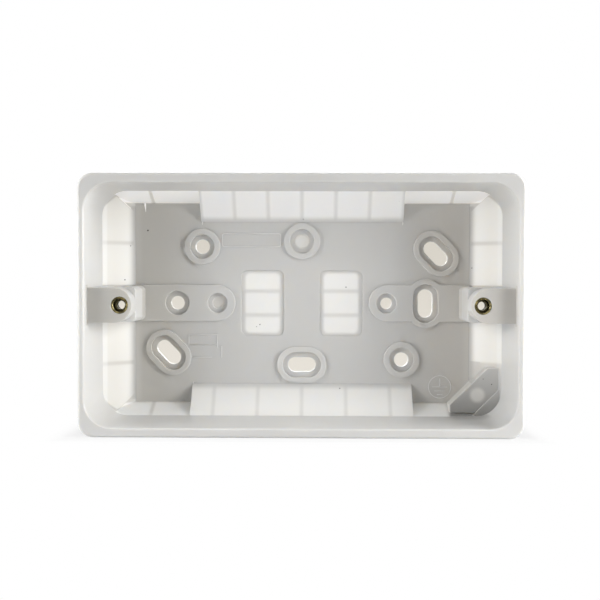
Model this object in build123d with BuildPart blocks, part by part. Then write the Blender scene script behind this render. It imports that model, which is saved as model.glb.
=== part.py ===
from build123d import *
from math import atan2, cos, sin, tan
import os

# Frame: X to the right, Z up, the back face at Y = 0 and the open front at Y = -box_depth.
# A height is a distance in front of the back face, so a point at height h has Y = -h.

# Body
box_width = 147.0
box_height = 87.0
box_depth = 35.0
outer_corner = 5.0
end_rim = 2.3
end_draft = 1.2
side_rim = 3.2
side_draft = 1.0
inner_corner = 9.0
floor = 2.0
rim_outer_round = 0.9
rim_inner_chamfer = 0.4

# Bevelled break-out edges, given by the distance of their foot from the middle of the box
bevel_top = 10.5
bevel_wall = 2.0
membrane = 0.9
end_foot = 60.2
corner_foot = 35.8
middle_foot = 29.1
middle_overlap = 0.2
middle_end_wall = 0.85
panel_rib = 1.4
panel_foot_gap = 2.2
corner_foot_gap = 0.9
top_panel_pitch = 12.05
top_panels = 6
bottom_panel_pitch = 15.75
bottom_panels = 5
end_line = 21.5
end_limit = 34.9
end_flare = 2.2
corner_line = 53.5
corner_limit = 59.3
corner_flare = 3.6

# Screw bosses on the two ends, for accessories with 120.6 mm between their screws
insert_spacing = 120.6
boss_front = 56.4
boss_top = 31.0
boss_ledge = 22.0
boss_base_width = 12.3
boss_base_corner = 1.8
boss_base_draft = 0.6
boss_head_width = 11.6
boss_wall = 2.1
boss_core_top = 23.9
boss_core_corner = 1.5
boss_embed = 1.7

# Threaded brass inserts
insert_radius = 2.9
insert_length = 6.2
insert_recess = 0.2
insert_seat = 0.7
insert_seat_radius = 2.2
thread_radius = 1.43
mouth_radius = 2.15
mouth_depth = 1.2
mouth_cone = 0.7
groove_depth = 0.45
groove_low = 2.3
groove_high = 3.7

# Tongues and fixing pads on the floor
pad_rise = 1.0
tongue_width = 13.0
tongue_tip = 24.05
pad_radius = 6.4
pad_recess_radius = 4.4
pad_recess_depth = 1.5
fixing_radius = 2.55
thin_hole_skin = 0.6
round_pads = [(-35.9, 20.3), (35.9, -20.3)]
thin_pad = (0.0, 22.3)
slot_offset = 4.85
slot_recess_radius = 4.55
slot_radius = 2.6
flat_slot = (0.0, -22.2)
slant_slot = (48.1, 17.9)
slant_angle = -46.0
upright_slot = (44.4, 0.0)
tongue_hole = 44.9
tongue_hole_radius = 2.4
inner_hole = 30.4
inner_hole_radius = 2.0
inner_recess_radius = 3.6

# Two knock-out windows in the floor
window_width = 15.4
window_height = 23.6
window_centre = 14.15
window_corner = 2.4
window_recess = 0.4
window_skin = 0.8
window_rib = 4.35
window_rib_width = 1.4
window_margin = 0.7
window_right_margin = 2.0

# Terminal platform in the lower right corner
platform_top = 9.75
platform_edge = [(65.55, -22.6), (71.6, -22.6), (71.6, -38.3), (52.4, -38.3), (52.4, -35.75)]
shoulder_top = 10.1
shoulder_edge = [(71.6, -28.1), (71.6, -41.6), (58.1, -41.6)]
platform_core_top = 7.7
platform_core = [(66.4, -25.0), (68.4, -25.0), (68.4, -31.2), (62.2, -37.4), (54.0, -37.4)]
terminal_hole = (62.1, -32.1)
terminal_hole_radius = 2.65
terminal_hole_top = 8.95
shelf_panel_limit = 51.2
shelf_step = 63.65
shelf_step_end = 22.2


def level(height):
    """Plane parallel to the back face at a height, seen from the open front."""
    return Plane.XZ.offset(height)


def profile_plane(outward):
    """Section plane through one side: x runs outward from the middle, y forward from the back."""
    return Plane(origin=(0, 0, 0), x_dir=outward, z_dir=Vector(*outward).cross(Vector(0, -1, 0)))


class Bevel:
    """Sloping wall between the floor and one side of the box."""

    def __init__(self, outward, foot, reach):
        self.profile = profile_plane(outward)
        self.foot = foot
        self.reach = reach
        self.slope = atan2(bevel_top - floor, reach - foot)

    def start(self, wall):
        """Distance from the middle at which the face meets the plane of the back."""
        return self.foot - floor / tan(self.slope) + wall / sin(self.slope)

    def wedge(self, wall, span):
        """Everything outside the bevel, for a face that lies this far behind its inside."""
        below = 2.0
        beyond = self.reach + 8.0
        near = self.start(wall)
        with BuildPart() as wedge:
            with BuildSketch(self.profile):
                with BuildLine():
                    Polyline(
                        (near - below / tan(self.slope), -below),
                        (beyond, -below),
                        (beyond, (beyond - near) * tan(self.slope)),
                        close=True,
                    )
                make_face()
            extrude(amount=span / 2, both=True)
        return wedge.part

    def outside(self):
        """Plane on the outer face, with y up the slope from the back."""
        outward = self.profile.x_dir
        forward = self.profile.y_dir
        return Plane(
            origin=outward * self.start(bevel_wall),
            x_dir=-self.profile.z_dir,
            z_dir=outward * sin(self.slope) - forward * cos(self.slope),
        )

    def panel_range(self, foot_gap):
        """Where the thin panels start and end on the outer face."""
        start = self.start(bevel_wall)
        low = (self.foot - start) * cos(self.slope) + floor * sin(self.slope) + foot_gap
        high = (self.reach - start) * cos(self.slope) + bevel_top * sin(self.slope)
        return low, high


def panel(bevel, foot_gap, start, end, flare=0.0):
    """Corner points of one thin panel on the outer face of a bevel."""
    low, high = bevel.panel_range(foot_gap)
    return [(start, low), (end, low), (end + flare, high), (start, high)]



def end_wall(height):
    """Distance from the middle to the inside of the two ends, which lean outward to the front."""
    return box_width / 2 - end_rim - end_draft * (1 - height / box_depth)


def side_wall(height):
    """Distance from the middle to the inside of the two long sides."""
    return box_height / 2 - side_rim - side_draft * (1 - height / box_depth)


end_reach = end_wall(bevel_top)
side_reach = side_wall(bevel_top)
top_middle = top_panels * top_panel_pitch / 2 + middle_overlap
bottom_middle = bottom_panels * bottom_panel_pitch / 2 + middle_overlap

right_bevel = Bevel((1, 0, 0), end_foot, end_reach)
left_bevel = Bevel((-1, 0, 0), end_foot, end_reach)
top_corner_bevel = Bevel((0, 0, 1), corner_foot, side_reach)
bottom_corner_bevel = Bevel((0, 0, -1), corner_foot, side_reach)
top_middle_bevel = Bevel((0, 0, 1), middle_foot, side_reach)
bottom_middle_bevel = Bevel((0, 0, -1), middle_foot, side_reach)

long_bevels = [right_bevel, left_bevel, top_corner_bevel, bottom_corner_bevel]
middle_bevels = [(top_middle_bevel, top_middle), (bottom_middle_bevel, bottom_middle)]

# Thin panels, each side listed along the x direction of its outer face
half_rib = panel_rib / 2
boss_side = boss_base_width / 2 + half_rib
inner_end = (boss_side, end_line - half_rib)
outer_end = (end_line + half_rib, end_limit, end_flare)
left_panels = [
    panel(left_bevel, panel_foot_gap, *inner_end),
    panel(left_bevel, panel_foot_gap, *outer_end),
    panel(left_bevel, panel_foot_gap, -inner_end[0], -inner_end[1]),
    panel(left_bevel, panel_foot_gap, -outer_end[0], -outer_end[1], -outer_end[2]),
]
shelf_low, shelf_high = right_bevel.panel_range(panel_foot_gap)
shelf_middle = shelf_low - panel_foot_gap + (shelf_step - end_foot) / cos(right_bevel.slope)
shelf_panel = [
    (-inner_end[0], shelf_low),
    (-inner_end[1], shelf_low),
    (-inner_end[1], shelf_middle),
    (-shelf_step_end, shelf_middle),
    (-shelf_step_end, shelf_high),
    (-inner_end[0], shelf_high),
]
right_panels = [
    panel(right_bevel, panel_foot_gap, *inner_end),
    panel(right_bevel, panel_foot_gap, *outer_end),
    shelf_panel,
]
top_corner_panels = []
for side in (-1, 1):
    inner_start = side * (top_middle + half_rib)
    inner_stop = side * (corner_line - half_rib)
    outer_start = side * (corner_line + half_rib)
    top_corner_panels.append(panel(top_corner_bevel, corner_foot_gap, inner_start, inner_stop))
    top_corner_panels.append(
        panel(top_corner_bevel, corner_foot_gap, outer_start, side * corner_limit, side * corner_flare)
    )
bottom_start = bottom_middle + half_rib
bottom_corner_panels = [
    panel(bottom_corner_bevel, corner_foot_gap, bottom_start, shelf_panel_limit),
    panel(bottom_corner_bevel, corner_foot_gap, -bottom_start, -(corner_line - half_rib)),
    panel(bottom_corner_bevel, corner_foot_gap, -(corner_line + half_rib), -corner_limit, -corner_flare),
]
top_middle_panels = []
for number in range(top_panels):
    start = (number - top_panels / 2) * top_panel_pitch + half_rib
    top_middle_panels.append(
        panel(top_middle_bevel, panel_foot_gap, start, start + top_panel_pitch - panel_rib)
    )
bottom_middle_panels = []
for number in range(bottom_panels):
    start = (number - bottom_panels / 2) * bottom_panel_pitch + half_rib
    bottom_middle_panels.append(
        panel(bottom_middle_bevel, panel_foot_gap, start, start + bottom_panel_pitch - panel_rib)
    )
panel_sets = [
    (left_bevel, left_panels),
    (right_bevel, right_panels),
    (top_corner_bevel, top_corner_panels),
    (bottom_corner_bevel, bottom_corner_panels),
    (top_middle_bevel, top_middle_panels),
    (bottom_middle_bevel, bottom_middle_panels),
]

# The space inside the box, with drafted walls and the bevels along its floor
with BuildPart() as hollow:
    with BuildSketch(profile_plane((1, 0, 0))):
        Polygon(
            (-end_wall(floor), floor),
            (end_wall(floor), floor),
            (end_wall(box_depth), box_depth),
            (-end_wall(box_depth), box_depth),
            align=None,
        )
    extrude(amount=box_height, both=True)
    with BuildSketch(profile_plane((0, 0, 1))):
        Polygon(
            (-side_wall(floor), floor),
            (side_wall(floor), floor),
            (side_wall(box_depth), box_depth),
            (-side_wall(box_depth), box_depth),
            align=None,
        )
    extrude(amount=box_width, both=True, mode=Mode.INTERSECT)
    fillet(hollow.edges().sort_by(SortBy.LENGTH)[:4], inner_corner)
    for bevel in long_bevels:
        add(bevel.wedge(0, box_width), mode=Mode.SUBTRACT)
    for bevel, half_length in middle_bevels:
        add(bevel.wedge(0, 2 * half_length), mode=Mode.SUBTRACT)

boss_centre = boss_front + boss_head_width / 2
boss_back = box_width / 2 - end_rim + boss_embed
root = floor / 2

with BuildPart() as back_box:
    with BuildSketch(level(0)):
        RectangleRounded(box_width, box_height, outer_corner)
    extrude(amount=box_depth)
    add(hollow.part, mode=Mode.SUBTRACT)

    # Rounded rim
    rim = back_box.faces().sort_by(Axis.Y)[0]
    fillet(rim.outer_wire().edges(), rim_outer_round)
    rim = back_box.faces().sort_by(Axis.Y)[0]
    chamfer(rim.inner_wires()[0].edges(), rim_inner_chamfer)

    # Tongues and pads, raised from the floor
    with BuildSketch(level(root)):
        tongue_length = boss_back - tongue_tip
        for side in (-1, 1):
            with Locations((side * (tongue_tip + tongue_length / 2), 0)):
                SlotOverall(tongue_length, tongue_width)
        with Locations(*round_pads, thin_pad):
            Circle(pad_radius)
        with Locations(flat_slot):
            SlotCenterToCenter(slot_offset, 2 * pad_radius)
        with Locations(upright_slot):
            SlotCenterToCenter(slot_offset, 2 * pad_radius, rotation=90)
        with Locations(slant_slot, (-slant_slot[0], -slant_slot[1])):
            SlotCenterToCenter(slot_offset, 2 * pad_radius, rotation=slant_angle)
    extrude(amount=floor - root + pad_rise)

    # Screw bosses: a drafted foot with a ledge, and a round-fronted head
    for side in (-1, 1):
        with BuildSketch(level(root)):
            with Locations((side * (boss_front + boss_back) / 2, 0)):
                RectangleRounded(boss_back - boss_front, boss_base_width, boss_base_corner)
        extrude(amount=boss_ledge - root, taper=boss_base_draft)
        with BuildSketch(level(boss_ledge - root)):
            with Locations((side * boss_centre, 0)):
                Circle(boss_head_width / 2)
            with Locations((side * (boss_centre + boss_back) / 2, 0)):
                Rectangle(boss_back - boss_centre, boss_head_width)
        extrude(amount=boss_top - boss_ledge + root)

    # Terminal platform and the shoulder behind it
    with BuildSketch(level(root)):
        Polygon(*platform_edge, align=None)
    extrude(amount=platform_top - root)
    with BuildSketch(level(root)):
        Polygon(*shoulder_edge, align=None)
    extrude(amount=shoulder_top - root)

    # Bevels on the outside
    for bevel in long_bevels:
        add(bevel.wedge(bevel_wall, box_width), mode=Mode.SUBTRACT)
    for bevel, half_length in middle_bevels:
        add(bevel.wedge(bevel_wall, 2 * (half_length - middle_end_wall)), mode=Mode.SUBTRACT)

    # Thin break-out panels, sunk from the outside
    for bevel, panels in panel_sets:
        with BuildSketch(bevel.outside()):
            for points in panels:
                Polygon(*points, align=None)
        extrude(amount=-(bevel_wall - membrane), mode=Mode.SUBTRACT)

    # Knock-out windows: shallow on the inside, three deeper panels on the outside
    with BuildSketch(level(floor)):
        with Locations((-window_centre, 0), (window_centre, 0)):
            RectangleRounded(window_width, window_height, window_corner)
    extrude(amount=-window_recess, mode=Mode.SUBTRACT)
    panel_width = window_width - window_margin - window_right_margin
    panel_shift = (window_margin - window_right_margin) / 2
    middle_panel = 2 * window_rib - window_rib_width
    outer_panel = window_height / 2 - window_margin - window_rib - window_rib_width / 2
    outer_centre = window_rib + window_rib_width / 2 + outer_panel / 2
    with BuildSketch(level(0)):
        for side in (-1, 1):
            panel_place = side * window_centre + panel_shift
            with Locations((panel_place, 0)):
                Rectangle(panel_width, middle_panel)
            with Locations((panel_place, outer_centre), (panel_place, -outer_centre)):
                Rectangle(panel_width, outer_panel)
    extrude(amount=floor - window_recess - window_skin, mode=Mode.SUBTRACT)

    # Fixing holes and slots
    pad_top = floor + pad_rise
    with Locations(level(pad_top)):
        with Locations(*round_pads):
            CounterBoreHole(fixing_radius, pad_recess_radius, pad_recess_depth)
        with Locations((-tongue_hole, 0)):
            CounterBoreHole(tongue_hole_radius, pad_recess_radius, pad_recess_depth)
        with Locations((inner_hole, 0)):
            CounterBoreHole(inner_hole_radius, inner_recess_radius, pad_recess_depth)
        with Locations(thin_pad):
            CounterBoreHole(fixing_radius, pad_recess_radius, pad_recess_depth, pad_top - thin_hole_skin)
        with Locations((-inner_hole, 0)):
            CounterBoreHole(inner_hole_radius, inner_recess_radius, pad_recess_depth, pad_top - thin_hole_skin)
    for width, depth in ((slot_recess_radius * 2, pad_recess_depth), (slot_radius * 2, pad_top)):
        with BuildSketch(level(pad_top)):
            with Locations(flat_slot):
                SlotCenterToCenter(slot_offset, width)
            with Locations(upright_slot):
                SlotCenterToCenter(slot_offset, width, rotation=90)
            with Locations(slant_slot, (-slant_slot[0], -slant_slot[1])):
                SlotCenterToCenter(slot_offset, width, rotation=slant_angle)
        extrude(amount=-depth, mode=Mode.SUBTRACT)

    # Bosses cored out from the back, with a seat for each insert
    core_length = end_reach - boss_front - 2 * boss_wall
    core_centre = boss_front + boss_wall + core_length / 2
    with BuildSketch(level(0)):
        with Locations((-core_centre, 0), (core_centre, 0)):
            RectangleRounded(core_length, boss_head_width - 2 * boss_wall, boss_core_corner)
    extrude(amount=boss_core_top, mode=Mode.SUBTRACT)
    insert_place = insert_spacing / 2
    seat = boss_top - insert_recess - insert_length
    with Locations(level(boss_top)):
        with Locations((-insert_place, 0), (insert_place, 0)):
            CounterBoreHole(insert_seat_radius, insert_radius, boss_top - seat, boss_top - boss_core_top)

    # Platform cored out from the back, with a thin spot for the terminal screw
    with BuildSketch(level(0)):
        Polygon(*platform_core, align=None)
    extrude(amount=platform_core_top, mode=Mode.SUBTRACT)
    with BuildSketch(level(0)):
        with Locations(terminal_hole):
            Circle(terminal_hole_radius)
    extrude(amount=terminal_hole_top, mode=Mode.SUBTRACT)

# Each insert is turned brass with a groove round its middle and a wide mouth
inserts = []
for name, place in (("left_insert", -insert_place), ("right_insert", insert_place)):
    axis_plane = Plane(origin=(place, -seat, 0), x_dir=(1, 0, 0), z_dir=(0, 0, -1))
    with BuildPart() as insert:
        with BuildSketch(axis_plane):
            with BuildLine():
                Polyline(
                    (thread_radius, 0),
                    (insert_radius, 0),
                    (insert_radius, groove_low),
                    (insert_radius - groove_depth, groove_low),
                    (insert_radius - groove_depth, groove_high),
                    (insert_radius, groove_high),
                    (insert_radius, insert_length),
                    (mouth_radius, insert_length),
                    (mouth_radius, insert_length - mouth_depth),
                    (thread_radius, insert_length - mouth_depth - mouth_cone),
                    close=True,
                )
            make_face()
        revolve(axis=Axis((place, 0, 0), (0, 1, 0)))
    insert.part.label = name
    inserts.append(insert.part)

back_box.part.label = "back_box"

os.makedirs("parts", exist_ok=True)
export_step(back_box.part, "parts/back_box.step")
for insert_part in inserts:
    export_step(insert_part, "parts/" + insert_part.label + ".step")
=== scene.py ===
from math import cos, pi, radians, sin

import bpy
from mathutils import Matrix, Vector


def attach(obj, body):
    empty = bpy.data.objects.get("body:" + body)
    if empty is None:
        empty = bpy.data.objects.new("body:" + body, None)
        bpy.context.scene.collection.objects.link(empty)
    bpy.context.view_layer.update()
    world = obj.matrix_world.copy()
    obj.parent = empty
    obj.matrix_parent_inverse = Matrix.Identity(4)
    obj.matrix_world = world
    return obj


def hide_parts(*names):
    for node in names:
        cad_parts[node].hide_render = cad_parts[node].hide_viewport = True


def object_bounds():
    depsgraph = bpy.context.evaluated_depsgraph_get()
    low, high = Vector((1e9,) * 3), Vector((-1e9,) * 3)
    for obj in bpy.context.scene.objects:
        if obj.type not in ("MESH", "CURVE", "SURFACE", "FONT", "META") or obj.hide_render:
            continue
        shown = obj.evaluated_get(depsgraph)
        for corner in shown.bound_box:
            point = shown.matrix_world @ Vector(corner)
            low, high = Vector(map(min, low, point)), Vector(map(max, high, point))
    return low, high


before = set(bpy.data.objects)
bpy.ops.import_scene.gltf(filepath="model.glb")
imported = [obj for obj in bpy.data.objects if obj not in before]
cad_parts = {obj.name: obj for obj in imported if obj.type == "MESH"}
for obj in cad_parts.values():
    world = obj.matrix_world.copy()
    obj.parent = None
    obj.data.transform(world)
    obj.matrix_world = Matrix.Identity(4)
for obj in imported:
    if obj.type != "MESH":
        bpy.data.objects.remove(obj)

cadBox = [list(corner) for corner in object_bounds()]
mm = 0.001


# Camera, fitted to the photograph's vanishing point and rim

camera = {
    "place": (4.41 * mm, -352.2 * mm, 10.3 * mm),
    "yaw": -0.836,
    "pitch": -1.5,
    "roll": 0.131,
    "focalPixels": 970.3,
    "framePixels": 600,
    "sensor": 36.0,
    "clip": (0.01, 20),
}


def addCamera():
    yaw, pitch, roll = (radians(camera[name]) for name in ("yaw", "pitch", "roll"))
    forward = Vector((sin(yaw) * cos(pitch), cos(yaw) * cos(pitch), sin(pitch)))
    level = Vector((cos(yaw), -sin(yaw), 0))
    upright = level.cross(forward)
    right = cos(roll) * level + sin(roll) * upright
    up = cos(roll) * upright - sin(roll) * level
    data = bpy.data.cameras.new("camera")
    data.sensor_width = camera["sensor"]
    data.lens = camera["focalPixels"] / camera["framePixels"] * camera["sensor"]
    data.clip_start, data.clip_end = camera["clip"]
    seen = bpy.data.objects.new("camera", data)
    bpy.context.scene.collection.objects.link(seen)
    turn = Matrix((right, up, -forward)).transposed().to_4x4()
    seen.matrix_world = Matrix.Translation(camera["place"]) @ turn
    bpy.context.scene.camera = seen


addCamera()
bpy.context.scene.view_settings.view_transform = "Standard"
print("camera set")


# Shader maths: Val wraps a socket, so that an expression on values adds its Math nodes

class Val:
    def __init__(self, surface, socket):
        self.surface = surface
        self.socket = socket

    def op(self, kind, *others):
        links = {0: self}
        for place, other in enumerate(others):
            links[place + 1] = other
        return self.surface.node("ShaderNodeMath", {"operation": kind}, links)

    def __add__(self, other):
        return self.op("ADD", other)

    def __radd__(self, other):
        return self.op("ADD", other)

    def __sub__(self, other):
        return self.op("SUBTRACT", other)

    def __rsub__(self, other):
        return self.op("MULTIPLY_ADD", -1.0, other)

    def __mul__(self, other):
        return self.op("MULTIPLY", other)

    def __rmul__(self, other):
        return self.op("MULTIPLY", other)

    def __truediv__(self, other):
        return self.op("DIVIDE", other)

    def __abs__(self):
        return self.op("ABSOLUTE")

    def __neg__(self):
        return self.op("MULTIPLY", -1.0)

    def most(self, other):
        return self.op("MAXIMUM", other)

    def rise(self, low, high):  # 0 below low, 1 above high and smooth between
        return self.surface.node(
            "ShaderNodeMapRange", {"interpolation_type": "SMOOTHSTEP"}, {0: self, 1: low, 2: high}
        )

    def fall(self, low, high):  # 1 below low, 0 above high
        return 1 - self.rise(low, high)


class Surface:
    def __init__(self, owner, place="Object"):
        self.owner = owner
        owner.use_nodes = True
        self.tree = owner.node_tree
        self.tree.nodes.clear()
        self.place = self.node("ShaderNodeTexCoord", {}, {}, place)

    def node(self, kind, settings, links, output=0):
        made = self.tree.nodes.new(kind)
        for name, value in settings.items():
            setattr(made, name, value)
        for name, value in links.items():
            value = getattr(value, "socket", value)
            if isinstance(value, bpy.types.NodeSocket):
                self.tree.links.new(value, made.inputs[name])
            else:
                made.inputs[name].default_value = value
        return Val(self, made.outputs[output]) if made.outputs else None

    def axis(self, name):
        return self.node("ShaderNodeSeparateXYZ", {}, {0: self.place}, name)

    def noise(self, scale, detail=2.0):
        return self.node("ShaderNodeTexNoise", {}, {"Vector": self.place, "Scale": scale, "Detail": detail})

    def blend(self, share, first, second):
        return self.node("ShaderNodeMix", {"data_type": "RGBA"}, {0: share, 6: first, 7: second}, 2)

    def away(self, point):  # distance of the shaded point from a point of the object, both in metres
        return self.node(
            "ShaderNodeVectorMath", {"operation": "DISTANCE"}, {0: self.place, 1: point}, "Value"
        )

    def ray(self, *kinds):  # 1 for a ray of one of these kinds
        found = [self.node("ShaderNodeLightPath", {}, {}, kind) for kind in kinds]
        return found[0] if len(found) == 1 else found[0].most(found[1])

    def finish(self, shader, output="ShaderNodeOutputMaterial"):
        self.node(output, {}, {"Surface": shader})
        return self.owner


# White moulding: satin, with painted light where it is thin and light comes through, painted shade by place,
# and a few specks of dirt

moulding = {  # bands and heights in millimetres: x and z from the middle of the box, depth from its back
    "colour": (0.715, 0.712, 0.70, 1),
    "deep": (0.675, 0.67, 0.655, 1),
    # painted light: the thin panels take a lighter colour and a faint glow for the light coming through them
    # from behind
    "paintedLightColour": (0.99, 0.985, 0.965, 1),
    "paintedGlowColour": (0.13, 0.126, 0.118, 1),
    "cloud": (60, 3),              # scale and detail
    "grain": (9000, 2),
    "grainStrength": 0.08,
    "grainDepth": 0.02 * mm,
    "low": (9.0, 9.6),             # the floor and the bevels lie below this height
    "middle": (30.0, 54.0),        # painted light: the floor is lighter inside the first distance from the middle
    "middleColour": (0.715, 0.712, 0.70, 1),
    "sides": (-5, 5),              # from the left to the right dim colour, painted shade on the floor's ends and the boss tops
    "dimLeft": (0.60, 0.585, 0.55, 1),
    "dimRight": (0.655, 0.635, 0.60, 1),
    # painted shade on the boss tops, which sit below the rim beside the walls
    "bossAbove": (30.0, 30.5),
    "bossBelow": (32.5, 33.0),
    "bossHalf": (6.5, 7.0),
    "bossShade": 0.1,
    # painted shade: the colour that darkens the toe, the platform, the wall under it, the creases, the boss
    # tops and the upper rim
    "paintedShadeColour": (0.30, 0.295, 0.28, 1),
    "toeIn": (59.9, 60.3),         # the foot of the end bevels lies in shade
    "toeOut": (60.6, 62.4),
    "toeHalf": (34.5, 35.3),
    "toeShade": 0.5,
    "footGlow": (57.0, 60.0),      # painted light: the floor is lighter beside the end bevels
    "footPaintedLight": 0.16,
    "edge": 0.22 * mm,
    "edgeSamples": 4,
    "edgeTurn": (0.90, 0.99),      # cosine of the turn of the softened normal
    # painted shade along the creases at the floor and a painted highlight along raised edges, found by how
    # far the softened normal turns
    "edgeBelow": (11, 12),
    "creaseAbove": (1.9, 2.0),
    "creaseBelow": (2.1, 2.3),
    "creaseShade": 0.5,
    "ridgeAbove": (2.3, 2.5),
    "ridgeHighlight": 0.45,
    "platform": (20.0, 42.0),      # painted shade: the platform darkens downward
    "platformSide": (51, 53),
    "platformAbove": (9.0, 9.5),
    "platformBelow": (10.2, 10.4),
    "platformShade": 0.75,
    "under": (12.0, 20.0),         # painted shadow on the wall below the platform
    "underAbove": (9.5, 10.5),
    "underDown": (38.4, 39.0),
    "underLeft": (49, 55),
    "underRight": (66, 72),
    "underShade": 0.4,
    # painted shade on the rim, growing towards the top
    "rimAbove": (33.5, 34.5),
    "rimUp": (22, 42),
    "rimShade": 0.2,
    "disc": (62.1 * mm, -9.75 * mm, -32.1 * mm),  # painted light through the thin skin of the blind hole in the platform
    "discReach": (1.6, 3.4),
    "discShare": 0.42,
    "skins": [((0, -1.0 * mm, 22.3 * mm), 0.33), ((-30.4 * mm, -1.0 * mm, 0), 0.15)],  # painted light through the thin skins in blind holes
    "skinReach": (1.9, 2.9),
    "skinBelow": (3.0, 3.3),
    "speck": (0.03, 0.03, 0.025, 1),
    "speckCore": 0.5,
    "roughness": 0.3,
    "roughnessSpread": 0.06,
    "refraction": 1.5,
    "specular": 0.32,
    "scatter": (1.0, 0.94, 0.84),
    "scatterScale": 1.3 * mm,
}
specks = [  # place and radius, in millimetres
    (-55.7, -2.0, 26.1, 0.38),
    (-61.7, -3.3, 20.5, 0.25),
    (-63.5, -4.8, 8.3, 0.30),
    (-11.7, -6.4, 34.9, 0.25),
    (34.4, -7.6, 36.4, 0.30),
    (0.4, -2.9, 30.2, 0.20),
    (61.0, -2.7, 12.8, 0.25),
    (15.9, -1.6, 5.8, 0.25),
    (46.9, -0.8, -3.6, 0.32),
    (13.7, -3.2, -30.7, 0.28),
    (39.7, -6.5, -35.3, 0.40),
    (67.1, -9.75, -28.3, 0.24),
    (64.1, -9.75, -26.4, 0.18),
    (72.7, -34.6, -40.2, 0.22),
    (-15.2, -1.6, -7.8, 0.25),
    (-16.4, -1.6, -8.6, 0.18),
]


thin = {  # where the moulding is thin and gets painted light, in millimetres from the middle of the box and from its back
    "endFoot": 60.2,
    "endGlow": (-0.8, 2.6),        # the painted light spreads into the floor and fades up the slope
    "endFade": (61.5, 67.0),       # the painted light is weaker towards the slope's outer edge
    "endDull": 0.28,
    "endLimit": (39.6, 40.2),
    "crease": (27.1, 27.9),        # the diagonal between an end and a long side
    "outerCut": (103.6, 104.8),
    "cornerFoot": 35.8,
    "cornerGlow": (-0.4, 0.7),
    "middleFoot": 29.1,
    "middleGlow": (0.2, 2.4),
    "bevelTop": (10.6, 10.8),
    "topMiddle": (36.2, 36.6),
    "bottomMiddle": (39.4, 39.8),
    "bossHalf": (6.2, 6.7),
    "ribHalf": (0.1, 1.2),
    "endRib": 21.5,
    "cornerRib": 53.5,
    "topPitch": 12.05,
    "bottomPitch": 15.75,
    "ribShare": 0.6,
    "shares": {
        "left": 0.62, "right": 0.77, "top": 1.0, "bottom": 0.62, "bottomCorner": 0.8, "window": 0.64,
    },
    "shelf": (20.5, 21.3),         # the platform's side of the right end
    "shelfStep": (63.35, 63.95),
    "shelfOuter": (20.6, 23.4),
    "shelfRight": (51.0, 53.2),
    "windowCentre": 14.15,
    "windowLeft": 7.0,
    "windowRight": 6.9,
    "windowHalf": 11.5,
    "windowSoft": 1.4,
    "windowRound": 2.4,
    "windowRib": 4.35,
    "windowBelow": (2.2, 2.5),
    "onePast": (0, 1),             # soft steps at the middle of the box
    "oneShort": (-1, 0),
}


# How much painted light the thin panels get, and 1 where the corner panels get a painted glow of light coming
# through

def thinZones(s, x, depth, z):
    side, tall = abs(x), abs(z)
    diagonal = side - tall
    shares = thin["shares"]
    below = depth.fall(*thin["bevelTop"])
    upper, lower = z.rise(*thin["oneShort"]), z.fall(*thin["onePast"])

    def glow(distance, foot, band):
        return distance.rise(foot + band[0], foot + band[1])

    def bars(distance):
        return distance.fall(*thin["ribHalf"]) * thin["ribShare"]

    def comb(pitch):
        return bars(abs(x - (x / pitch).op("ROUND") * pitch))

    ends = glow(side, thin["endFoot"], thin["endGlow"]) * tall.rise(*thin["bossHalf"])
    ends = ends * (1 - side.rise(*thin["endFade"]) * thin["endDull"])
    ends = ends * tall.fall(*thin["endLimit"]) * diagonal.rise(*thin["crease"])
    ends = ends * (side + tall).fall(*thin["outerCut"]) * (1 - bars(abs(tall - thin["endRib"])))
    inner = (-z).fall(*thin["shelf"])
    outer = (-z).fall(*thin["shelfOuter"]) * x.rise(*thin["shelfStep"])
    leftEnd = x.fall(*thin["onePast"]) * shares["left"]
    rightEnd = x.rise(*thin["onePast"]) * inner.most(outer) * shares["right"]
    ends = ends * (leftEnd + rightEnd)
    topSide = side.fall(*thin["topMiddle"]) * upper
    bottomSide = side.fall(*thin["bottomMiddle"]) * lower
    topMiddle = glow(z, thin["middleFoot"], thin["middleGlow"]) * topSide * (1 - comb(thin["topPitch"]))
    bottomMiddle = glow(-z, thin["middleFoot"], thin["middleGlow"]) * bottomSide
    bottomMiddle = bottomMiddle * (1 - comb(thin["bottomPitch"]))
    corners = glow(tall, thin["cornerFoot"], thin["cornerGlow"]) * diagonal.fall(*thin["crease"])
    corners = corners * (1 - bars(abs(side - thin["cornerRib"])))
    corners = corners * upper.most(x.fall(*thin["shelfRight"]))
    corners = corners * (1 - topSide.most(bottomSide)) * below
    bevels = ends.most(topMiddle * shares["top"]).most(bottomMiddle * shares["bottom"])
    bevels = bevels * below
    fromWindow = x - thin["windowCentre"] * x.op("SIGN")
    halfWidth = (thin["windowLeft"] + thin["windowRight"]) / 2
    besides = abs(fromWindow - (thin["windowRight"] - halfWidth)) - (halfWidth - thin["windowRound"])
    above = tall - (thin["windowHalf"] - thin["windowRound"])
    corner = (besides.most(0) * besides.most(0) + above.most(0) * above.most(0)).op("SQRT")
    window = corner.fall(thin["windowRound"] - thin["windowSoft"], thin["windowRound"])
    window = window * (1 - bars(abs(tall - thin["windowRib"])))
    window = window * depth.fall(*thin["windowBelow"]) * shares["window"]
    topCorners = corners * upper
    bottomCorners = corners * lower * shares["bottomCorner"]
    return bevels.most(window).most(topCorners).most(bottomCorners), topCorners


# the first number weighs the light scattered inside, the second is the least share of the painted light
# colour and the third the least painted glow of light coming through

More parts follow.
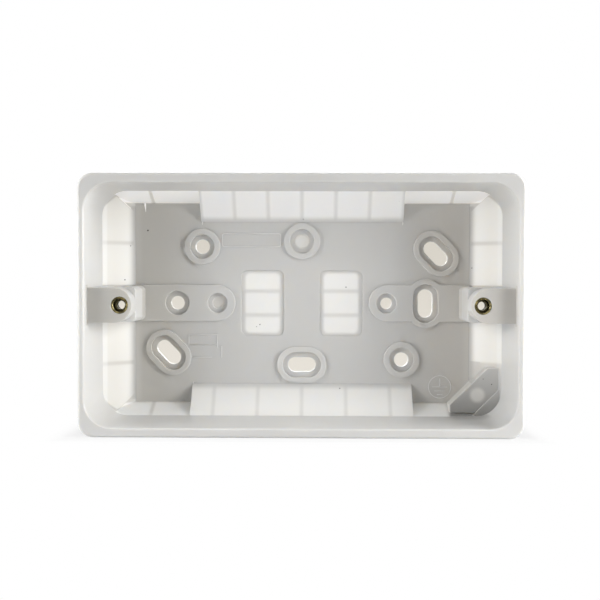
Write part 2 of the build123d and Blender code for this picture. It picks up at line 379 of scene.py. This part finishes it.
def mouldingFinish(name, inner, paintedLightShare, paintedGlowShare):
    s = Surface(bpy.data.materials.new(name))
    x, y, z = (s.axis(letter) / mm for letter in "XYZ")
    depth = -y

    def band(value, *names):
        found = value.rise(*moulding[names[0]])
        return found * value.fall(*moulding[names[1]]) if len(names) > 1 else found

    cloud = s.noise(*moulding["cloud"])
    grain = s.noise(*moulding["grain"])
    colour = s.blend(cloud, moulding["deep"], moulding["colour"])
    low = depth.fall(*moulding["low"])
    middle = abs(x).fall(*moulding["middle"])
    bossTop = band(depth, "bossAbove", "bossBelow") * abs(z).fall(*moulding["bossHalf"])
    # painted light and shade by place: the floor's middle keeps the plain colour, its ends and the boss tops
    # take the dim colour
    colour = s.blend(low * middle, colour, moulding["middleColour"])
    dim = s.blend(band(x, "sides"), moulding["dimLeft"], moulding["dimRight"])
    colour = s.blend((low * (1 - middle)).most(bossTop), colour, dim)
    zones, through = thinZones(s, x, depth, z)
    toe = band(abs(x), "toeIn", "toeOut") * abs(z).fall(*moulding["toeHalf"]) * low
    platform = band(x, "platformSide") * band(-z, "platform") * band(depth, "platformAbove", "platformBelow")
    under = band(depth, "underAbove", "under") * band(-z, "underDown") * band(x, "underLeft", "underRight")
    soft = s.node("ShaderNodeBevel", {"samples": moulding["edgeSamples"]}, {"Radius": moulding["edge"]})
    normal = s.node("ShaderNodeNewGeometry", {}, {}, "Normal")
    turned = s.node("ShaderNodeVectorMath", {"operation": "DOT_PRODUCT"}, {0: soft, 1: normal}, "Value")
    edge = turned.fall(*moulding["edgeTurn"]) * depth.fall(*moulding["edgeBelow"])
    # crease: painted shade in the creases at the floor; ridge: painted highlight along raised edges
    crease = edge * band(depth, "creaseAbove", "creaseBelow")
    ridge = edge * band(depth, "ridgeAbove") * moulding["ridgeHighlight"]
    # painted shade at the toe, on the platform, on the wall under it, in the creases and on the boss tops
    shade = toe * moulding["toeShade"]
    shade = shade.most(platform * moulding["platformShade"]).most(under * moulding["underShade"])
    shade = shade.most(crease * moulding["creaseShade"]).most(bossTop * moulding["bossShade"])
    # painted light through the thin skins at the bottoms of the blind holes
    disc = (s.away(moulding["disc"]) / mm).fall(*moulding["discReach"])
    zones = zones.most(disc * band(depth, "platformAbove") * moulding["discShare"])
    for place, share in moulding["skins"]:
        skin = (s.away(place) / mm).fall(*moulding["skinReach"])
        zones = zones.most(skin * depth.fall(*moulding["skinBelow"]) * share)
    # painted shade on the rim towards the top
    rim = band(depth, "rimAbove") * band(z, "rimUp") * moulding["rimShade"]
    # all the painted shade above, and the rim's, blended in
    colour = s.blend(shade.most(rim), colour, moulding["paintedShadeColour"])
    # painted light on the floor beside the end bevels
    foot = low * band(abs(x), "footGlow") * moulding["footPaintedLight"]
    # painted light: thin panels, the floor by the end bevels, raised edges, and the marks and flash as a
    # whole
    colour = s.blend(zones.most(foot).most(ridge).most(paintedLightShare), colour, moulding["paintedLightColour"])
    dirt = None
    for across, back, up, radius in specks:
        spot = s.away((across * mm, back * mm, up * mm))
        spot = spot.fall(moulding["speckCore"] * radius * mm, radius * mm)
        dirt = spot if dirt is None else dirt.most(spot)
    colour = s.blend(dirt, colour, moulding["speck"])
    bump = s.node("ShaderNodeBump", {}, {
        "Strength": moulding["grainStrength"],
        "Distance": moulding["grainDepth"],
        "Height": grain,
        "Normal": soft,
    })
    shader = s.node(
        "ShaderNodeBsdfPrincipled",
        {"subsurface_method": "RANDOM_WALK"},
        {
            "Base Color": colour,
            "Roughness": moulding["roughness"] + moulding["roughnessSpread"] * cloud,
            "IOR": moulding["refraction"],
            "Specular IOR Level": moulding["specular"],
            "Subsurface Weight": inner,
            "Subsurface Radius": moulding["scatter"],
            "Subsurface Scale": moulding["scatterScale"],
            # painted glow where the upper corner panels and the flash let light through, though no lamp is
            # there
            "Emission Color": s.blend(through.most(paintedGlowShare), (0, 0, 0, 1), moulding["paintedGlowColour"]),
            "Emission Strength": 1.0,
            "Normal": bump,
        },
    )
    return s.finish(shader)


# Turned brass, with painted shade deep in the thread and random stains

brass = {
    "colour": (0.50, 0.43, 0.22, 1),
    # the dark colour of random stains and of the painted shade deep in the thread
    "stainAndShade": (0.07, 0.06, 0.03, 1),
    "roughness": 0.16,
    "roughnessSpread": 0.15,
    "boreShade": (28.9, 29.7),        # painted shade: the thread below this height is darker, in millimetres from the back
    "stain": (0.35, 0.6),
    "stainShare": 0.8,
    "cloud": (900, 3),             # scale and detail
    "turning": (6000, 1),
    "turningStrength": 0.12,
    "turningDepth": 0.02 * mm,
}


def brassFinish():
    s = Surface(bpy.data.materials.new("insert_brass"))
    cloud = s.noise(*brass["cloud"])
    height = -s.axis("Y") / mm
    # painted shade deep in the thread, with random stains
    stainAndShade = height.fall(*brass["boreShade"]).most(cloud.rise(*brass["stain"]) * brass["stainShare"])
    bump = s.node("ShaderNodeBump", {}, {
        "Strength": brass["turningStrength"],
        "Distance": brass["turningDepth"],
        "Height": s.noise(*brass["turning"]),
    })
    shader = s.node(
        "ShaderNodeBsdfPrincipled",
        {},
        {
            "Base Color": s.blend(stainAndShade, brass["colour"], brass["stainAndShade"]),
            "Metallic": 1.0,
            "Roughness": brass["roughness"] + brass["roughnessSpread"] * cloud,
            "Normal": bump,
        },
    )
    return s.finish(shader)


whitePlastic = mouldingFinish("moulding", 1.0, 0.0, 0.0)
# the raised marks get a painted highlight from a share of the painted light colour; the flash is painted
# fully light and given a painted glow
markPlastic = mouldingFinish("moulding_marks", 0.0, 0.65, 0.0)
flashPlastic = mouldingFinish("moulding_flash", 0.0, 1.0, 1.0)
dullBrass = brassFinish()
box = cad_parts["back_box"]
box.data.materials.clear()
box.data.materials.append(whitePlastic)
print("finishes made")


# Modelling helpers: pieces are shaped in metres, in the frame of the box

smoothBelow = radians(35)


def deselectAll():
    bpy.ops.object.select_all(action="DESELECT")


def editWhole(piece):
    bpy.context.view_layer.objects.active = piece
    bpy.ops.object.mode_set(mode="EDIT")
    bpy.ops.mesh.select_mode(type="VERT")
    bpy.ops.mesh.select_all(action="SELECT")


def joinPieces(pieces):
    deselectAll()
    for piece in pieces:
        piece.select_set(True)
    bpy.context.view_layer.objects.active = pieces[0]
    bpy.ops.object.join()
    return pieces[0]


def settle(piece, name, finish, replaced=None):
    deselectAll()
    piece.select_set(True)
    bpy.context.view_layer.objects.active = piece
    bpy.ops.object.transform_apply(location=True, rotation=True, scale=True)
    bpy.ops.object.shade_smooth_by_angle(angle=smoothBelow)
    piece.name = name
    piece.data.name = name
    piece.data.materials.clear()
    piece.data.materials.append(finish)
    if replaced:
        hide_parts(replaced)
    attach(piece, "root")


# Threaded inserts: a turned body and a rolled thread ridge in its bore

insert = {
    "places": {"left_insert": -60.3, "right_insert": 60.3},
    "names": {"left_insert": "leftThreadedInsert", "right_insert": "rightThreadedInsert"},
    "rings": [  # radius and height from the back, round the section of the body
        (1.78, 24.62), (2.70, 24.62), (2.88, 24.80), (2.88, 26.90), (2.45, 26.90), (2.45, 28.30),
        (2.88, 28.30), (2.88, 30.62), (2.72, 30.78), (2.32, 30.78), (2.18, 30.62), (2.15, 29.60),
        (1.78, 29.00), (1.78, 24.62),
    ],
    "segments": 72,
    "thread": (24.85, 3.9, 0.6),   # start height, length and pitch
    "threadRadii": (1.84, 1.43),   # root and crest
    "threadRoot": 0.9,             # width of the ridge at its root, as a share of the pitch
    "threadCrest": 0.18,           # width at its crest, as a share of the root's
    "threadSteps": 234,
    "merge": 0.002 * mm,
}


def addInsertBody(place):
    firstRadius, firstHeight = insert["rings"][0]
    deselectAll()
    bpy.ops.mesh.primitive_circle_add(
        vertices=insert["segments"], radius=firstRadius * mm, fill_type="NOTHING",
        location=(place * mm, -firstHeight * mm, 0), rotation=(pi / 2, 0, 0),
    )
    body = bpy.context.object
    editWhole(body)
    last = (firstRadius, firstHeight)
    for radius, height in insert["rings"][1:]:
        bpy.ops.mesh.extrude_region_move(TRANSFORM_OT_translate={"value": (0, -(height - last[1]) * mm, 0)})
        scale = radius / last[0]
        bpy.ops.transform.resize(value=(scale, 1, scale), center_override=(place * mm, -height * mm, 0))
        last = (radius, height)
    bpy.ops.mesh.select_all(action="SELECT")
    bpy.ops.mesh.remove_doubles(threshold=insert["merge"])
    bpy.ops.mesh.normals_make_consistent(inside=False)
    bpy.ops.object.mode_set(mode="OBJECT")
    return body


def addThreadRidge(place):
    start, length, pitch = insert["thread"]
    root, crest = insert["threadRadii"]
    deselectAll()
    bpy.ops.mesh.primitive_plane_add(size=1)
    ridge = bpy.context.object
    editWhole(ridge)
    width = insert["threadRoot"] * pitch
    bpy.ops.transform.resize(value=((root - crest) * mm, width * mm, 1), center_override=(0, 0, 0))
    bpy.ops.mesh.select_all(action="DESELECT")
    bpy.ops.object.mode_set(mode="OBJECT")
    for vertex in ridge.data.vertices:  # the crest is the inner side
        vertex.select = vertex.co.x < 0
    bpy.ops.object.mode_set(mode="EDIT")
    bpy.ops.transform.resize(value=(1, insert["threadCrest"], 1), center_override=(0, 0, 0))
    bpy.ops.mesh.select_all(action="SELECT")
    bpy.ops.transform.translate(value=((root + crest) / 2 * mm, 0, 0))
    bpy.ops.mesh.delete(type="ONLY_FACE")
    bpy.ops.object.mode_set(mode="OBJECT")
    turn = ridge.modifiers.new("thread", "SCREW")
    turn.axis = "Y"
    turn.angle = 2 * pi * length / pitch
    turn.screw_offset = length * mm
    turn.steps = turn.render_steps = insert["threadSteps"]
    turn.use_merge_vertices = False
    bpy.ops.object.modifier_apply(modifier="thread")
    ridge.location = (place * mm, -(start + length) * mm, 0)
    editWhole(ridge)
    bpy.ops.mesh.fill_holes(sides=4)
    bpy.ops.mesh.select_all(action="SELECT")
    bpy.ops.mesh.normals_make_consistent(inside=False)
    bpy.ops.object.mode_set(mode="OBJECT")
    return ridge


for node, place in insert["places"].items():
    piece = joinPieces([addInsertBody(place), addThreadRidge(place)])
    settle(piece, insert["names"][node], dullBrass, node)
print("inserts made")


# Raised lines on the floor: flat outlines given a thickness, with softened edges

lines = {  # millimetres
    "floor": 2.0,
    "rise": 0.16,
    "root": 0.10,                  # sunk in the floor
    "soft": 0.05,
    "softSegments": 2,
    "cornerSegments": 5,
    "ringSegments": 72,
}


def onFloor(x, z):
    return (x * mm, -(lines["floor"] + lines["rise"]) * mm, z * mm)


def addStrip(low, high):  # corners given as (x, z) in millimetres
    middle = onFloor((low[0] + high[0]) / 2, (low[1] + high[1]) / 2)
    deselectAll()
    bpy.ops.mesh.primitive_plane_add(size=1, location=middle, rotation=(pi / 2, 0, 0))
    strip = bpy.context.object
    strip.scale = ((high[0] - low[0]) * mm, (high[1] - low[1]) * mm, 1)
    bpy.ops.object.transform_apply(location=True, rotation=True, scale=True)
    return strip


def hollowOut(piece, width):  # leaves a border of this width, in millimetres
    bpy.ops.object.mode_set(mode="EDIT")
    bpy.ops.mesh.select_mode(type="FACE")
    bpy.ops.mesh.select_all(action="SELECT")
    bpy.ops.mesh.inset(thickness=width * mm)
    bpy.ops.mesh.delete(type="FACE")
    bpy.ops.object.mode_set(mode="OBJECT")


def addFrame(low, high, corner, width):
    plate = addStrip(low, high)
    editWhole(plate)
    bpy.ops.mesh.bevel(
        offset=corner * mm, offset_type="OFFSET", segments=lines["cornerSegments"], affect="VERTICES"
    )
    bpy.ops.object.mode_set(mode="OBJECT")
    hollowOut(plate, width)
    return plate


def addRing(place, radius, width):
    deselectAll()
    bpy.ops.mesh.primitive_circle_add(
        vertices=lines["ringSegments"], radius=radius * mm, fill_type="NGON",
        location=onFloor(*place), rotation=(pi / 2, 0, 0),
    )
    ring = bpy.context.object
    bpy.ops.object.transform_apply(location=True, rotation=True, scale=True)
    hollowOut(ring, width)
    return ring


def raiseLines(pieces, name):
    piece = joinPieces(pieces)
    thick = piece.modifiers.new("thickness", "SOLIDIFY")
    thick.thickness = (lines["rise"] + lines["root"]) * mm
    thick.offset = -1
    bpy.ops.object.modifier_apply(modifier="thickness")
    soft = piece.modifiers.new("soft", "BEVEL")
    soft.width = lines["soft"] * mm
    soft.segments = lines["softSegments"]
    soft.limit_method = "ANGLE"
    bpy.ops.object.modifier_apply(modifier="soft")
    settle(piece, name, markPlastic)


earth = {
    "centre": (49.8, -30.1),
    "radius": 4.2,
    "line": 0.34,
    "stem": (0.21, 0.24, 3.1),     # half-width, lower and upper end above the centre
    "bars": [(0.0, 2.75, 0.15), (-1.45, 1.9, 0.15), (-2.8, 1.0, 0.15)],  # height, half-length, half-width
}
marks = [addRing(earth["centre"], earth["radius"], earth["line"])]
centreX, centreZ = earth["centre"]
halfStem, stemLow, stemHigh = earth["stem"]
marks.append(addStrip((centreX - halfStem, centreZ + stemLow), (centreX + halfStem, centreZ + stemHigh)))
for height, half, thickness in earth["bars"]:
    marks.append(addStrip(
        (centreX - half, centreZ + height - thickness), (centreX + half, centreZ + height + thickness)
    ))
raiseLines(marks, "earthSign")

plainFrame = {"low": (-28.9, 20.2), "high": (-7.5, 25.2), "corner": 0.9, "width": 0.32}
raiseLines([addFrame(**plainFrame)], "plainFrame")

table = [  # low and high corner of each line
    ((-41.05, -11.65), (-30.3, -11.35)),
    ((-41.05, -15.2), (-40.75, -11.70)),
    ((-40.7, -15.12), (-30.8, -14.88)),
    ((-30.75, -16.3), (-30.45, -11.70)),
    ((-29.2, -19.8), (-28.9, -15.5)),
    ((-40.4, -19.77), (-32.5, -19.53)),
]
raiseLines([addStrip(low, high) for low, high in table], "tableLines")
print("floor marks made")


# Moulding flash: thin slivers at the ends of the bevel sections and along the corner creases

slivers = [  # both ends as x, height and z, then the thickness at each, in millimetres
    ((-56.9, 2.2, 37.0), (-56.4, 2.0, 32.6), 1.0, 0.12),
    ((-36.3, 2.2, 33.5), (-35.9, 2.0, 28.0), 0.8, 0.12),
    ((36.4, 2.2, 33.0), (36.2, 2.0, 28.0), 0.6, 0.12),
    ((-39.6, 2.2, -33.0), (-39.3, 2.0, -28.4), 0.6, 0.12),
    ((-65.2, 6.4, 37.6), (-61.5, 3.2, 33.9), 0.34, 0.20),
]
sliver = {
    "sides": 6,
    "cuts": 2,
    "ragged": 0.06 * mm,
    "seed": 5,
    "smooth": 0.3,
}


def addSliver(low, high, thickLow, thickHigh):  # a taper made ragged along its length
    first, last = (Vector((x, -height, z)) * mm for x, height, z in (low, high))
    along = last - first
    deselectAll()
    bpy.ops.mesh.primitive_cone_add(
        vertices=sliver["sides"], radius1=thickLow / 2 * mm, radius2=thickHigh / 2 * mm, depth=along.length,
        location=(first + last) / 2, rotation=along.to_track_quat("Z", "Y").to_euler(),
    )
    taper = bpy.context.object
    editWhole(taper)
    bpy.ops.mesh.subdivide(number_cuts=sliver["cuts"])
    bpy.ops.transform.vertex_random(offset=sliver["ragged"], seed=sliver["seed"])
    bpy.ops.mesh.vertices_smooth(factor=sliver["smooth"])
    bpy.ops.object.mode_set(mode="OBJECT")
    return taper


settle(joinPieces([addSliver(*row) for row in slivers]), "flashSlivers", flashPlastic)
print("flash made")


# Stage: white floor, white surroundings and soft lamps

stage = {
    "floorSize": 30.0,
    "floorGap": 0.02 * mm,
    "floorWhite": (0.8, 0.8, 0.8, 1),
    "shadowReach": 11.0,           # millimetres from the box at which the floor is plain white
    "shadowWhite": 0.78,
    "worldStrength": 0.18,
    "front": (0.80, 0.93),         # the dark room behind the camera, by direction
    "frontStrength": 0.15,
    # painted shade: the planes behind the holes glow a little darker than white, darker towards the top, for
    # the shaded surface behind the box
    "holeLow": (0.80, 0.762, 0.69, 1),
    "holeHigh": (0.68, 0.645, 0.575, 1),
    "holeSpan": (-0.03, 0.03),
    "flagPlaces": (-79, 79),       # millimetres, like depth and height below
    "flagDepth": (-2.0, 34.8),
    "flagHeight": (-43.0, 60.0),
    "flagCloth": (0.5, 0.5, 0.5, 1),
    "flagShare": 0.72,
}
holeBacking = [  # pale planes behind the fixing holes and the threads, glowing in a painted-shade colour: x, y, z and half-sizes, in millimetres
    (0, 0.3, 0, 57, 26),
    (-64.3, -5.0, -0.7, 3, 3),
    (64.3, -5.0, -0.7, 3, 3),
]


def addFloor():
    deselectAll()
    low = cadBox[0][2] - stage["floorGap"]
    bpy.ops.mesh.primitive_plane_add(size=stage["floorSize"], location=(0, 0, low))
    floor = bpy.context.object
    floor.name = "floor"
    bpy.ops.object.transform_apply(location=True, rotation=True, scale=True)
    s = Surface(bpy.data.materials.new("floor_white"))
    halfWidth = (cadBox[1][0] - cadBox[0][0]) / 2 / mm
    halfDepth = (cadBox[1][1] - cadBox[0][1]) / 2 / mm
    besideX = abs(s.axis("X") / mm) - halfWidth
    besideY = abs(s.axis("Y") / mm + halfDepth) - halfDepth
    clear = besideX.most(besideY).rise(0, stage["shadowReach"])
    white = stage["shadowWhite"] + clear * (1 - stage["shadowWhite"])
    shade = s.node("ShaderNodeBsdfDiffuse", {}, {"Color": stage["floorWhite"]})
    glow = s.node("ShaderNodeEmission", {}, {"Color": (1, 1, 1, 1), "Strength": 1.0})
    share = white * s.ray("Is Camera Ray", "Is Glossy Ray")
    floor.data.materials.append(s.finish(s.node("ShaderNodeMixShader", {}, {0: share, 1: shade, 2: glow})))


def addHoleBacking():
    planes = []
    for x, y, z, halfX, halfZ in holeBacking:
        deselectAll()
        bpy.ops.mesh.primitive_plane_add(size=2, location=(x * mm, y * mm, z * mm), rotation=(pi / 2, 0, 0))
        bpy.context.object.scale = (halfX * mm, halfZ * mm, 1)
        bpy.ops.object.transform_apply(location=True, rotation=True, scale=True)
        planes.append(bpy.context.object)
    backing = joinPieces(planes)
    backing.name = "holeBacking"
    s = Surface(bpy.data.materials.new("hole_backing"))
    facing = 1 - s.node("ShaderNodeNewGeometry", {}, {}, "Backfacing")
    clear = s.node("ShaderNodeBsdfTransparent", {}, {})
    # painted shade: the glow is a little darker than white, darker towards the top
    colour = s.blend(s.axis("Z").rise(*stage["holeSpan"]), stage["holeLow"], stage["holeHigh"])
    pale = s.node("ShaderNodeEmission", {}, {"Color": colour, "Strength": 1.0})
    share = facing * s.ray("Is Camera Ray")
    backing.data.materials.append(s.finish(s.node("ShaderNodeMixShader", {}, {0: share, 1: clear, 2: pale})))


def addFlags():  # keep most of the side lamps' light off the outer ends, which stand nearest to them
    planes = []
    for x in stage["flagPlaces"]:
        low, high = stage["flagDepth"]
        bottom, top = stage["flagHeight"]
        middle = (x * mm, -(low + high) / 2 * mm, (bottom + top) / 2 * mm)
        deselectAll()
        bpy.ops.mesh.primitive_plane_add(size=1, location=middle, rotation=(0, pi / 2, 0))
        bpy.context.object.scale = ((top - bottom) * mm, (high - low) * mm, 1)
        bpy.ops.object.transform_apply(location=True, rotation=True, scale=True)
        planes.append(bpy.context.object)
    flags = joinPieces(planes)
    flags.name = "flags"
    s = Surface(bpy.data.materials.new("flag_cloth"))
    clear = s.node("ShaderNodeBsdfTransparent", {}, {})
    cloth = s.node("ShaderNodeBsdfDiffuse", {}, {"Color": stage["flagCloth"]})
    share = (1 - s.ray("Is Camera Ray", "Is Glossy Ray")) * stage["flagShare"]
    flags.data.materials.append(s.finish(s.node("ShaderNodeMixShader", {}, {0: share, 1: clear, 2: cloth})))


def addWorld():
    world = bpy.data.worlds.new("surroundings")
    bpy.context.scene.world = world
    s = Surface(world, "Generated")
    front = (-s.axis("Y")).rise(*stage["front"])
    mirrored = 1 - front * (1 - stage["frontStrength"])
    glossy = s.ray("Is Glossy Ray")
    seen = s.ray("Is Camera Ray")
    plain = (1 - glossy) * (1 - seen)
    strength = glossy * mirrored + seen + plain * stage["worldStrength"]
    back = s.node("ShaderNodeBackground", {}, {"Color": (1, 1, 1, 1), "Strength": strength})
    s.finish(back, "ShaderNodeOutputWorld")


lamps = {  # where each soft lamp stands, in metres, its size and its power
    "left_lamp": ((-0.45, -0.18, 0.10), 0.35, 2.3),
    "right_lamp": ((0.45, -0.18, 0.10), 0.35, 3.3),
    "rear_lamp": ((0.0, 1.2, 0.35), 1.0, 12.0),
}


def addLamps():
    for name, (place, size, power) in lamps.items():
        data = bpy.data.lights.new(name, "AREA")
        data.shape = "SQUARE"
        data.size = size
        data.energy = power
        lamp = bpy.data.objects.new(name, data)
        bpy.context.scene.collection.objects.link(lamp)
        lamp.location = place
        lamp.rotation_euler = Vector(place).to_track_quat("Z", "Y").to_euler()


addFloor()
addHoleBacking()
addFlags()
addWorld()
addLamps()
print("stage set")
